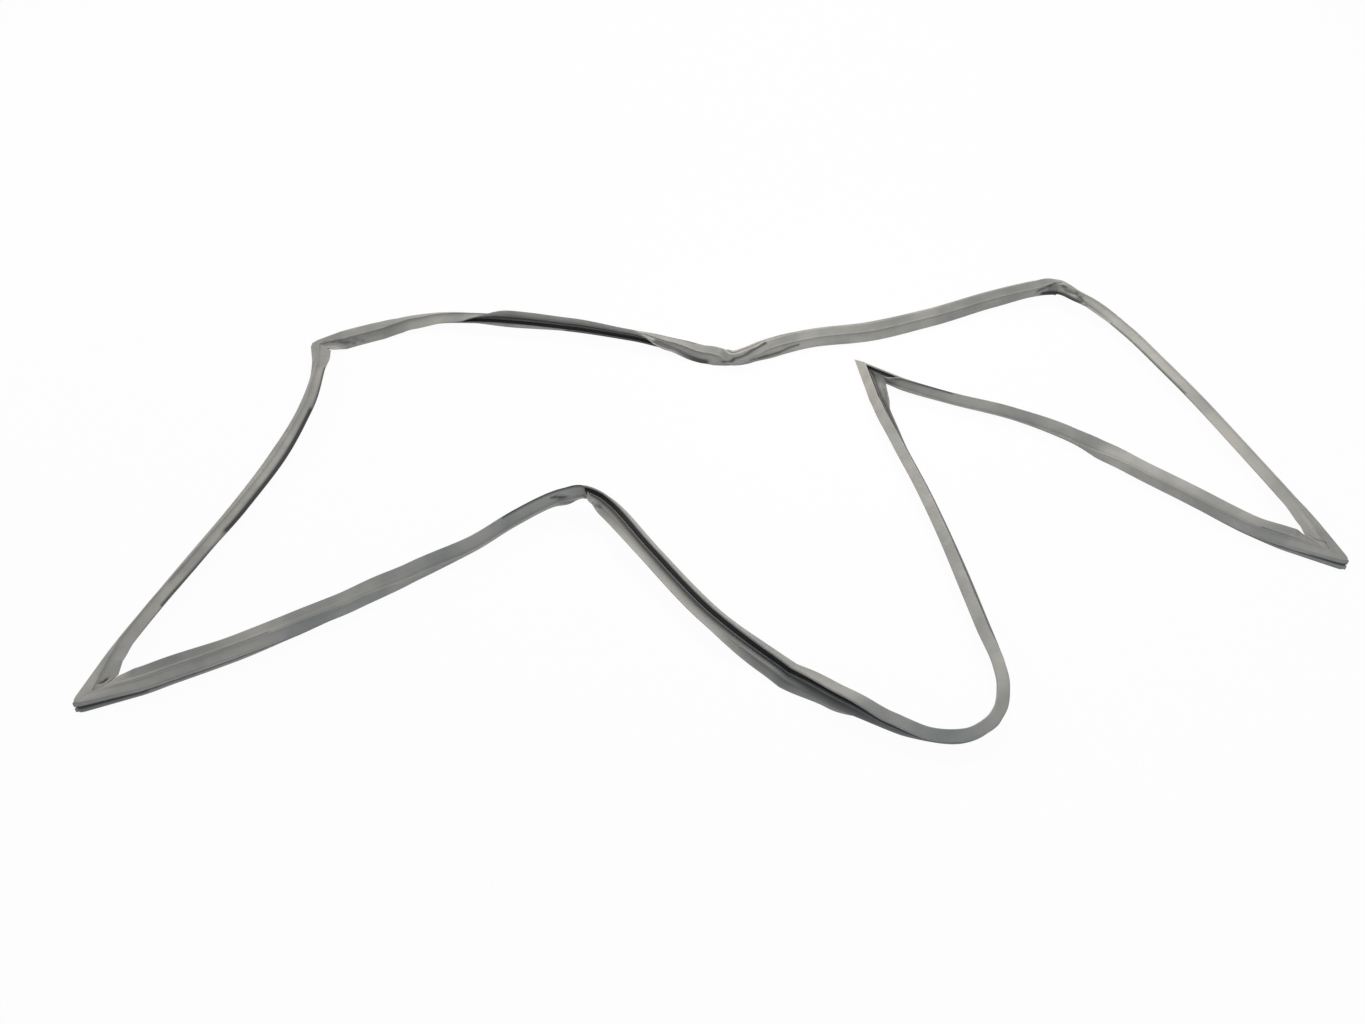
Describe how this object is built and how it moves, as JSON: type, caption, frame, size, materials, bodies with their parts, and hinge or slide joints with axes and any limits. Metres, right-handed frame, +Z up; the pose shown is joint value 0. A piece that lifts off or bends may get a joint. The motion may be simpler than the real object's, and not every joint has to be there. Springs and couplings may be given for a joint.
{
  "type": "refrigerator door gasket",
  "caption": "Magnetic PVC door seal of an upright refrigerator: a long closed loop of soft profile with welded mitred corners, lying loose, bent and twisted on a flat surface.",
  "frame": {"origin": "on the surface the gasket lies on, under the middle of its outline seen from above", "axes": "+X along the longer extent of the loop as it lies, +Z up from the surface"},
  "size_m": [1.2396, 0.7538, 0.0342],
  "materials": {
    "gasket_profile": "satin grey soft PVC",
    "magnet_strip": "dark brown flexible ferrite"
  },
  "bodies": {
    "root": {"gasket_profile": "gasket_profile", "magnet_strip_short_left": "magnet_strip", "magnet_strip_long_back": "magnet_strip", "magnet_strip_short_right": "magnet_strip", "magnet_strip_long_front": "magnet_strip"}
  },
  "joints": []
}
